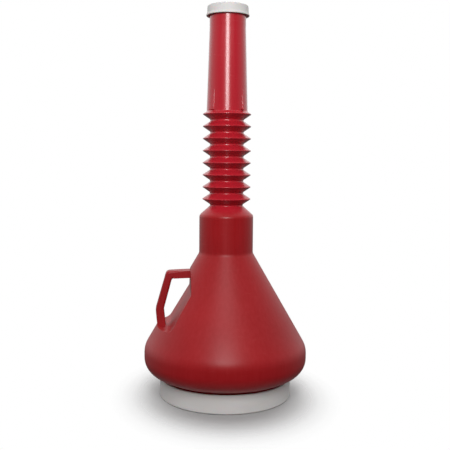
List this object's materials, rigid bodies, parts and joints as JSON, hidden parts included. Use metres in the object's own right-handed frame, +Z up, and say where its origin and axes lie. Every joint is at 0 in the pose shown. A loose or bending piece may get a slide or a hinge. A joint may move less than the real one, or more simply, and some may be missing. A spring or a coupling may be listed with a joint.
{
  "type": "funnel",
  "caption": "Garage funnel with a wide bell, a side handle, a flexible bellows spout, a snap lid on the mouth and a snap cap on the spout, stored mouth down.",
  "frame": {"origin": "centre of the lid's base, on the ground", "axes": "+Z up along the spout as the funnel is stored, mouth down; the handle points to -X"},
  "size_m": [0.1516, 0.1516, 0.3587],
  "materials": {
    "red_polyethylene": "satin blow-moulded polyethylene, red",
    "white_polyethylene": "satin injection-moulded polyethylene, off-white",
    "strainer_plastic": "satin injection-moulded polyethylene, off-white",
    "brass_gauze": "woven brass wire gauze"
  },
  "bodies": {
    "funnel_body": {"mouth_rim": "red_polyethylene", "bell": "red_polyethylene", "handle": "red_polyethylene", "neck": "red_polyethylene"},
    "lid": {"lid": "white_polyethylene"},
    "strainer": {"strainer_frame": "strainer_plastic", "strainer_mesh": "brass_gauze"},
    "lower_crease_1": {"lower_crease_1": "red_polyethylene"},
    "upper_crease_1": {"upper_crease_1": "red_polyethylene"},
    "fold_1": {"fold_1": "red_polyethylene"},
    "lower_crease_2": {"lower_crease_2": "red_polyethylene"},
    "upper_crease_2": {"upper_crease_2": "red_polyethylene"},
    "fold_2": {"fold_2": "red_polyethylene"},
    "lower_crease_3": {"lower_crease_3": "red_polyethylene"},
    "upper_crease_3": {"upper_crease_3": "red_polyethylene"},
    "fold_3": {"fold_3": "red_polyethylene"},
    "lower_crease_4": {"lower_crease_4": "red_polyethylene"},
    "upper_crease_4": {"upper_crease_4": "red_polyethylene"},
    "fold_4": {"fold_4": "red_polyethylene"},
    "lower_crease_5": {"lower_crease_5": "red_polyethylene"},
    "upper_crease_5": {"upper_crease_5": "red_polyethylene"},
    "fold_5": {"fold_5": "red_polyethylene"},
    "lower_crease_6": {"lower_crease_6": "red_polyethylene"},
    "upper_crease_6": {"upper_crease_6": "red_polyethylene"},
    "fold_6": {"fold_6": "red_polyethylene"},
    "lower_crease_7": {"lower_crease_7": "red_polyethylene"},
    "upper_crease_7": {"upper_crease_7": "red_polyethylene"},
    "fold_7": {"fold_7": "red_polyethylene"},
    "lower_crease_8": {"lower_crease_8": "red_polyethylene"},
    "upper_crease_8": {"upper_crease_8": "red_polyethylene"},
    "spout": {"fold_8": "red_polyethylene", "spout": "red_polyethylene"},
    "spout_cap": {"spout_cap": "white_polyethylene"}
  },
  "joints": [
    {"name": "stretch_1", "type": "slide", "parent": "funnel_body", "child": "lower_crease_1", "axis": [0, 0, 1], "range_m": [-0.0008, 0.001], "stiffness_N_per_m": 32000, "deforming": ["lower_crease_1"]},
    {"name": "bend_front_1", "type": "hinge", "parent": "lower_crease_1", "child": "upper_crease_1", "pos_m": [0, 0, 0.1785], "axis": [1, 0, 0], "range_deg": [-7.5, 7.5], "stiffness_Nm_per_rad": 80},
    {"name": "bend_side_1", "type": "hinge", "parent": "upper_crease_1", "child": "fold_1", "pos_m": [0, 0, 0.1785], "axis": [0, 1, 0], "range_deg": [-7.5, 7.5], "stiffness_Nm_per_rad": 80, "deforming": ["upper_crease_1"]},
    {"name": "stretch_2", "type": "slide", "parent": "fold_1", "child": "lower_crease_2", "axis": [0, 0, 1], "range_m": [-0.0008, 0.001], "deforming": ["lower_crease_2"]},
    {"name": "bend_front_2", "type": "hinge", "parent": "lower_crease_2", "child": "upper_crease_2", "pos_m": [0, 0, 0.18957], "axis": [1, 0, 0], "range_deg": [-7.5, 7.5]},
    {"name": "bend_side_2", "type": "hinge", "parent": "upper_crease_2", "child": "fold_2", "pos_m": [0, 0, 0.18957], "axis": [0, 1, 0], "range_deg": [-7.5, 7.5], "deforming": ["upper_crease_2"]},
    {"name": "stretch_3", "type": "slide", "parent": "fold_2", "child": "lower_crease_3", "axis": [0, 0, 1], "range_m": [-0.0008, 0.001], "deforming": ["lower_crease_3"]},
    {"name": "bend_front_3", "type": "hinge", "parent": "lower_crease_3", "child": "upper_crease_3", "pos_m": [0, 0, 0.20064], "axis": [1, 0, 0], "range_deg": [-7.5, 7.5]},
    {"name": "bend_side_3", "type": "hinge", "parent": "upper_crease_3", "child": "fold_3", "pos_m": [0, 0, 0.20064], "axis": [0, 1, 0], "range_deg": [-7.5, 7.5], "deforming": ["upper_crease_3"]},
    {"name": "stretch_4", "type": "slide", "parent": "fold_3", "child": "lower_crease_4", "axis": [0, 0, 1], "range_m": [-0.0008, 0.001], "deforming": ["lower_crease_4"]},
    {"name": "bend_front_4", "type": "hinge", "parent": "lower_crease_4", "child": "upper_crease_4", "pos_m": [0, 0, 0.21171], "axis": [1, 0, 0], "range_deg": [-7.5, 7.5]},
    {"name": "bend_side_4", "type": "hinge", "parent": "upper_crease_4", "child": "fold_4", "pos_m": [0, 0, 0.21171], "axis": [0, 1, 0], "range_deg": [-7.5, 7.5], "deforming": ["upper_crease_4"]},
    {"name": "stretch_5", "type": "slide", "parent": "fold_4", "child": "lower_crease_5", "axis": [0, 0, 1], "range_m": [-0.0008, 0.001], "deforming": ["lower_crease_5"]},
    {"name": "bend_front_5", "type": "hinge", "parent": "lower_crease_5", "child": "upper_crease_5", "pos_m": [0, 0, 0.22278], "axis": [1, 0, 0], "range_deg": [-7.5, 7.5]},
    {"name": "bend_side_5", "type": "hinge", "parent": "upper_crease_5", "child": "fold_5", "pos_m": [0, 0, 0.22278], "axis": [0, 1, 0], "range_deg": [-7.5, 7.5], "deforming": ["upper_crease_5"]},
    {"name": "stretch_6", "type": "slide", "parent": "fold_5", "child": "lower_crease_6", "axis": [0, 0, 1], "range_m": [-0.0008, 0.001], "deforming": ["lower_crease_6"]},
    {"name": "bend_front_6", "type": "hinge", "parent": "lower_crease_6", "child": "upper_crease_6", "pos_m": [0, 0, 0.23385], "axis": [1, 0, 0], "range_deg": [-7.5, 7.5]},
    {"name": "bend_side_6", "type": "hinge", "parent": "upper_crease_6", "child": "fold_6", "pos_m": [0, 0, 0.23385], "axis": [0, 1, 0], "range_deg": [-7.5, 7.5], "deforming": ["upper_crease_6"]},
    {"name": "stretch_7", "type": "slide", "parent": "fold_6", "child": "lower_crease_7", "axis": [0, 0, 1], "range_m": [-0.0008, 0.001], "deforming": ["lower_crease_7"]},
    {"name": "bend_front_7", "type": "hinge", "parent": "lower_crease_7", "child": "upper_crease_7", "pos_m": [0, 0, 0.24492], "axis": [1, 0, 0], "range_deg": [-7.5, 7.5]},
    {"name": "bend_side_7", "type": "hinge", "parent": "upper_crease_7", "child": "fold_7", "pos_m": [0, 0, 0.24492], "axis": [0, 1, 0], "range_deg": [-7.5, 7.5], "deforming": ["upper_crease_7"]},
    {"name": "stretch_8", "type": "slide", "parent": "fold_7", "child": "lower_crease_8", "axis": [0, 0, 1], "range_m": [-0.0008, 0.001], "deforming": ["lower_crease_8"]},
    {"name": "bend_front_8", "type": "hinge", "parent": "lower_crease_8", "child": "upper_crease_8", "pos_m": [0, 0, 0.25599], "axis": [1, 0, 0], "range_deg": [-7.5, 7.5]},
    {"name": "bend_side_8", "type": "hinge", "parent": "upper_crease_8", "child": "spout", "pos_m": [0, 0, 0.25599], "axis": [0, 1, 0], "range_deg": [-7.5, 7.5], "deforming": ["upper_crease_8"]},
    {"name": "lid_off", "type": "slide", "parent": "funnel_body", "child": "lid", "axis": [0, 0, -1], "range_m": [0, 0.03]},
    {"name": "cap_off", "type": "slide", "parent": "spout", "child": "spout_cap", "axis": [0, 0, 1], "range_m": [0, 0.025]},
    {"name": "strainer_out", "type": "slide", "parent": "funnel_body", "child": "strainer", "axis": [0, 0, -1], "range_m": [0, 0.12]}
  ],
  "couplings": [
    {"joint": "stretch_2", "follows": "stretch_1", "ratio": 1},
    {"joint": "bend_front_2", "follows": "bend_front_1", "ratio": 1},
    {"joint": "bend_side_2", "follows": "bend_side_1", "ratio": 1},
    {"joint": "stretch_3", "follows": "stretch_1", "ratio": 1},
    {"joint": "bend_front_3", "follows": "bend_front_1", "ratio": 1},
    {"joint": "bend_side_3", "follows": "bend_side_1", "ratio": 1},
    {"joint": "stretch_4", "follows": "stretch_1", "ratio": 1},
    {"joint": "bend_front_4", "follows": "bend_front_1", "ratio": 1},
    {"joint": "bend_side_4", "follows": "bend_side_1", "ratio": 1},
    {"joint": "stretch_5", "follows": "stretch_1", "ratio": 1},
    {"joint": "bend_front_5", "follows": "bend_front_1", "ratio": 1},
    {"joint": "bend_side_5", "follows": "bend_side_1", "ratio": 1},
    {"joint": "stretch_6", "follows": "stretch_1", "ratio": 1},
    {"joint": "bend_front_6", "follows": "bend_front_1", "ratio": 1},
    {"joint": "bend_side_6", "follows": "bend_side_1", "ratio": 1},
    {"joint": "stretch_7", "follows": "stretch_1", "ratio": 1},
    {"joint": "bend_front_7", "follows": "bend_front_1", "ratio": 1},
    {"joint": "bend_side_7", "follows": "bend_side_1", "ratio": 1},
    {"joint": "stretch_8", "follows": "stretch_1", "ratio": 1},
    {"joint": "bend_front_8", "follows": "bend_front_1", "ratio": 1},
    {"joint": "bend_side_8", "follows": "bend_side_1", "ratio": 1}
  ]
}
